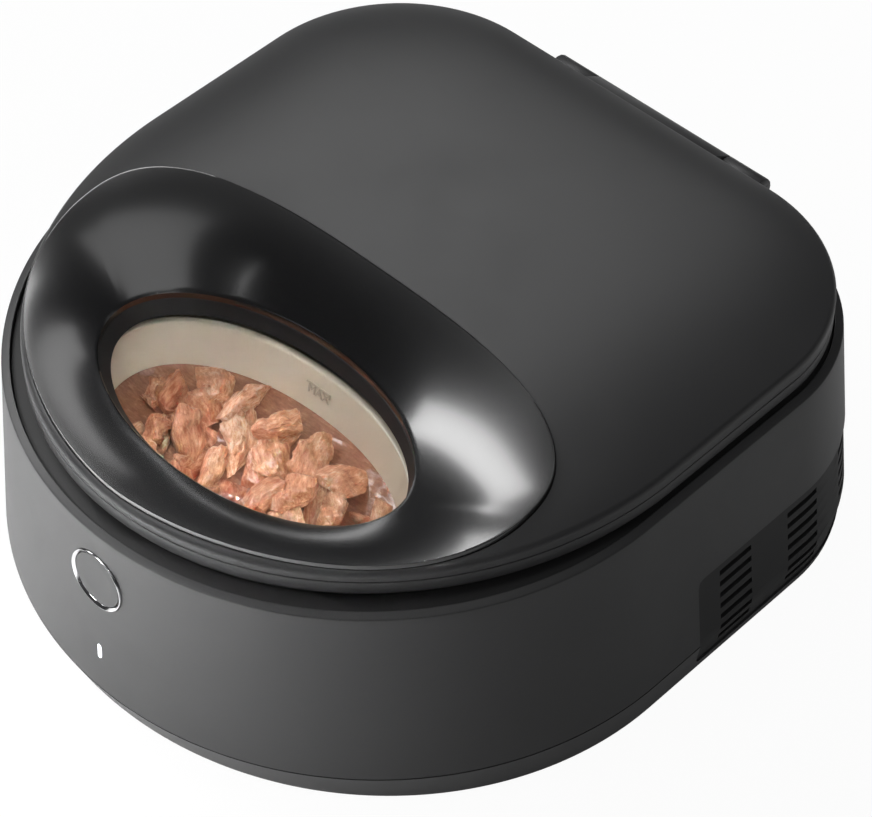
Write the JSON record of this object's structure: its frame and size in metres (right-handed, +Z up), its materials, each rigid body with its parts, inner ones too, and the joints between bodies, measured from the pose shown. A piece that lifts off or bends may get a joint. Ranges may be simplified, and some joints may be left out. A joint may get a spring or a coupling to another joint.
{
  "type": "automatic wet food feeder",
  "caption": "Chilled pet feeder: hinged lid with a scooped oval opening, rotary shutter and driven carrier turning bowls of wet food under the opening.",
  "frame": {"origin": "centre of the footprint on the floor, under the feet", "axes": "+Z up; -Y towards the button and the feeding opening; +X to the right seen from the front; the hinge is at the rear"},
  "size_m": [0.314, 0.3331, 0.1398],
  "materials": {
    "shell_charcoal": "fine matte charcoal",
    "gloss_black": "satin gloss black",
    "soft_black": "matte black",
    "foot_rubber": "soft matte rubber",
    "gasket_rubber": "soft matte silicone",
    "chrome_ring": "polished",
    "light_lens": "frosted, lit white",
    "bowl_cream": "satin cream",
    "wet_food": "wet flaked meat",
    "pale_grey": "satin pale grey",
    "foam": "matte foam",
    "aluminium": "brushed",
    "ceramic": "white ceramic",
    "steel": "plain steel",
    "acetal": "smooth white",
    "board_green": "solder resist"
  },
  "bodies": {
    "base": {"base_pan": "shell_charcoal", "housing": "shell_charcoal", "deck_ring": "soft_black", "vent_grille_left": "soft_black", "vent_grille_right": "soft_black", "foot_front_left": "foot_rubber", "foot_front_right": "foot_rubber", "foot_rear_left": "foot_rubber", "foot_rear_right": "foot_rubber", "chamber_tub": "pale_grey", "insulation": "foam", "cold_block": "aluminium", "peltier_module": "ceramic", "heat_sink": "aluminium", "fan_frame": "soft_black", "spindle_post": "soft_black", "gear_motor": "steel", "hinge_ear_left": "shell_charcoal", "hinge_ear_right": "shell_charcoal", "hinge_pin": "steel", "button_ring": "chrome_ring", "status_light": "light_lens", "control_board": "board_green", "power_inlet": "soft_black"},
    "lid": {"lid_shell": "shell_charcoal", "lid_scoop": "gloss_black", "opening_collar": "gasket_rubber", "lid_base": "shell_charcoal", "lid_lining": "pale_grey", "lid_gasket": "gasket_rubber", "lid_knuckle": "shell_charcoal", "shutter_motor": "soft_black"},
    "shutter": {"shutter": "soft_black"},
    "tray": {"bowl_carrier": "pale_grey", "drive_gear": "acetal", "bowl_front": "bowl_cream", "bowl_left": "bowl_cream", "bowl_right": "bowl_cream", "food_portion": "wet_food"},
    "pinion": {"motor_pinion": "acetal"},
    "fan": {"fan_rotor": "soft_black"},
    "button": {"power_button": "shell_charcoal"}
  },
  "joints": [
    {"name": "lid_hinge", "type": "hinge", "parent": "base", "child": "lid", "pos_m": [0, 0.15975, 0.106], "axis": [-1, 0, 0], "range_deg": [0, 85]},
    {"name": "shutter_turn", "type": "hinge", "parent": "lid", "child": "shutter", "pos_m": [0, -0.01225, 0.1043], "axis": [0, 0, 1], "range_deg": [0, 180]},
    {"name": "tray_spin", "type": "hinge", "parent": "base", "child": "tray", "pos_m": [0, -0.01225, 0.0525], "axis": [0, 0, 1], "continuous": true},
    {"name": "pinion_spin", "type": "hinge", "parent": "base", "child": "pinion", "pos_m": [-0.052, -0.01225, 0.039], "axis": [0, 0, 1], "continuous": true},
    {"name": "fan_spin", "type": "hinge", "parent": "base", "child": "fan", "pos_m": [0.11065, 0.11878, 0.066], "axis": [0.6452, 0.764, 0], "continuous": true},
    {"name": "button_press", "type": "slide", "parent": "base", "child": "button", "axis": [0, 0.9975, -0.0711], "range_m": [0, 0.0012], "stiffness_N_per_m": 900}
  ],
  "couplings": [
    {"joint": "pinion_spin", "follows": "tray_spin", "ratio": -3.3333}
  ]
}
